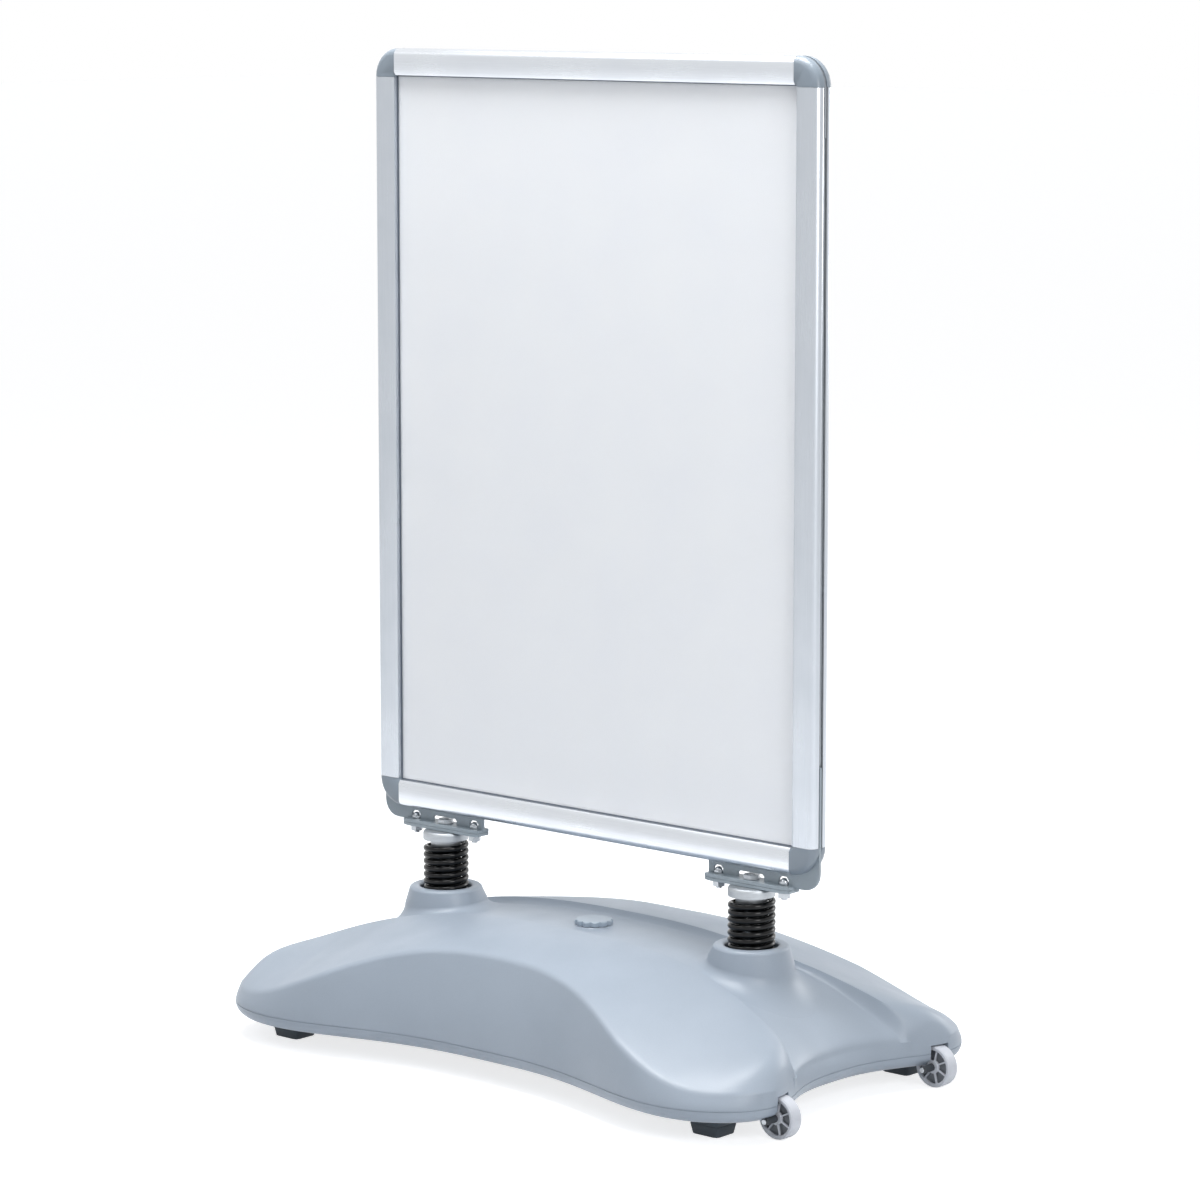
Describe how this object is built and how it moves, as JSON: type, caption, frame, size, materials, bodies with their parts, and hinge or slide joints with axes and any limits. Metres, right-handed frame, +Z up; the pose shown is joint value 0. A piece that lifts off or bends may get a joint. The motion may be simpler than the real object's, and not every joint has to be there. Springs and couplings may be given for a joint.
{
  "type": "pavement sign",
  "caption": "Double-sided poster frame with hinged snap-open rails, carried on two springs over a waisted water-filled base with feet, transport wheels and a filler cap.",
  "frame": {"origin": "on the ground plane, below the middle of the whole sign seen from above", "axes": "+Z up; +X along the width of the poster frames, with the transport wheels at the +X end of the base; -Y out of the front face"},
  "size_m": [0.8088, 0.476, 1.1455],
  "materials": {
    "tank": "blue-grey moulded polyethylene, matt with a slight sheen",
    "foot": "dark grey rubber",
    "wheel": "light grey moulded nylon",
    "sleeve": "dark grey moulded plastic",
    "zinc": "bright zinc plated steel",
    "spring": "gloss black enamel on spring steel",
    "turned_cap": "turned, satin",
    "plate": "grey painted sheet steel",
    "seal": "black rubber",
    "rail": "silver anodised extrusion, satin",
    "profile": "plain extrusion",
    "corner": "grey moulded plastic",
    "backing": "white backing sheet",
    "cover": "clear flexible cover sheet"
  },
  "bodies": {
    "base": {"base_tank": "tank", "foot_front_left": "foot", "foot_front_right": "foot", "foot_rear_left": "foot", "foot_rear_right": "foot", "axle_sleeve_front_outer": "sleeve", "axle_sleeve_front_inner": "sleeve", "axle_sleeve_rear_outer": "sleeve", "axle_sleeve_rear_inner": "sleeve", "axle_front": "zinc", "axle_rear": "zinc", "spring_left": "spring", "spring_right": "spring", "spring_seat_left": "plate", "spring_seat_right": "plate"},
    "wheel_front": {"wheel_front": "wheel"},
    "wheel_rear": {"wheel_rear": "wheel"},
    "cap_seal": {"cap_seal": "seal"},
    "filler_cap": {"filler_cap": "tank"},
    "panel": {"clamp_bolt_left_inner": "zinc", "clamp_bolt_left_outer": "zinc", "clamp_bolt_right_inner": "zinc", "clamp_bolt_right_outer": "zinc", "clamp_plate_left": "plate", "clamp_plate_right": "plate", "bracket_left": "plate", "bracket_right": "plate", "spring_cap_left": "turned_cap", "spring_cap_right": "turned_cap", "top_plate_left": "profile", "top_plate_right": "profile", "profile_front_top": "profile", "profile_front_bottom": "profile", "profile_front_left": "profile", "profile_front_right": "profile", "profile_rear_top": "profile", "profile_rear_bottom": "profile", "profile_rear_left": "profile", "profile_rear_right": "profile", "corner_front_top_left": "corner", "corner_front_top_right": "corner", "corner_front_bottom_left": "corner", "corner_front_bottom_right": "corner", "corner_rear_top_left": "corner", "corner_rear_top_right": "corner", "corner_rear_bottom_left": "corner", "corner_rear_bottom_right": "corner", "back_panel_front": "backing", "back_panel_rear": "backing", "cover_sheet_front": "cover", "cover_sheet_rear": "cover"},
    "rail_front_top": {"snap_rail_front_top": "rail"},
    "rail_front_bottom": {"snap_rail_front_bottom": "rail"},
    "rail_front_left": {"snap_rail_front_left": "rail"},
    "rail_front_right": {"snap_rail_front_right": "rail"},
    "rail_rear_top": {"snap_rail_rear_top": "rail"},
    "rail_rear_bottom": {"snap_rail_rear_bottom": "rail"},
    "rail_rear_left": {"snap_rail_rear_left": "rail"},
    "rail_rear_right": {"snap_rail_rear_right": "rail"}
  },
  "joints": [
    {"name": "wheel_front_spin", "type": "hinge", "parent": "base", "child": "wheel_front", "pos_m": [0.38075, -0.1398, 0.0241], "axis": [0, 1, 0], "continuous": true},
    {"name": "wheel_rear_spin", "type": "hinge", "parent": "base", "child": "wheel_rear", "pos_m": [0.38075, 0.1398, 0.0241], "axis": [0, 1, 0], "continuous": true},
    {"name": "panel_sway", "type": "hinge", "parent": "base", "child": "panel", "pos_m": [0, 0, 0.19], "axis": [1, 0, 0], "range_deg": [-15, 15], "stiffness_Nm_per_rad": 220, "deforming": ["spring_left", "spring_right"]},
    {"name": "cap_lift", "type": "slide", "parent": "base", "child": "cap_seal", "axis": [0, 0, 1], "range_m": [0, 0.006]},
    {"name": "cap_turn", "type": "hinge", "parent": "cap_seal", "child": "filler_cap", "pos_m": [-0.00485, 0, 0.1645], "axis": [0, 0, 1], "range_deg": [0, 720]},
    {"name": "rail_front_top_open", "type": "hinge", "parent": "panel", "child": "rail_front_top", "pos_m": [-0.00485, -0.0046, 1.1429], "axis": [-1, 0, 0], "range_deg": [0, 95]},
    {"name": "rail_front_bottom_open", "type": "hinge", "parent": "panel", "child": "rail_front_bottom", "pos_m": [-0.00485, -0.0046, 0.2551], "axis": [1, 0, 0], "range_deg": [0, 95]},
    {"name": "rail_front_left_open", "type": "hinge", "parent": "panel", "child": "rail_front_left", "pos_m": [-0.33075, -0.0046, 0.699], "axis": [0, 0, -1], "range_deg": [0, 95]},
    {"name": "rail_front_right_open", "type": "hinge", "parent": "panel", "child": "rail_front_right", "pos_m": [0.32105, -0.0046, 0.699], "axis": [0, 0, 1], "range_deg": [0, 95]},
    {"name": "rail_rear_top_open", "type": "hinge", "parent": "panel", "child": "rail_rear_top", "pos_m": [-0.00485, 0.0046, 1.1429], "axis": [1, 0, 0], "range_deg": [0, 95]},
    {"name": "rail_rear_bottom_open", "type": "hinge", "parent": "panel", "child": "rail_rear_bottom", "pos_m": [-0.00485, 0.0046, 0.2551], "axis": [-1, 0, 0], "range_deg": [0, 95]},
    {"name": "rail_rear_left_open", "type": "hinge", "parent": "panel", "child": "rail_rear_left", "pos_m": [-0.33075, 0.0046, 0.699], "axis": [0, 0, 1], "range_deg": [0, 95]},
    {"name": "rail_rear_right_open", "type": "hinge", "parent": "panel", "child": "rail_rear_right", "pos_m": [0.32105, 0.0046, 0.699], "axis": [0, 0, -1], "range_deg": [0, 95]}
  ],
  "couplings": [
    {"joint": "cap_turn", "follows": "cap_lift", "rad_per_m": 2094.4}
  ]
}
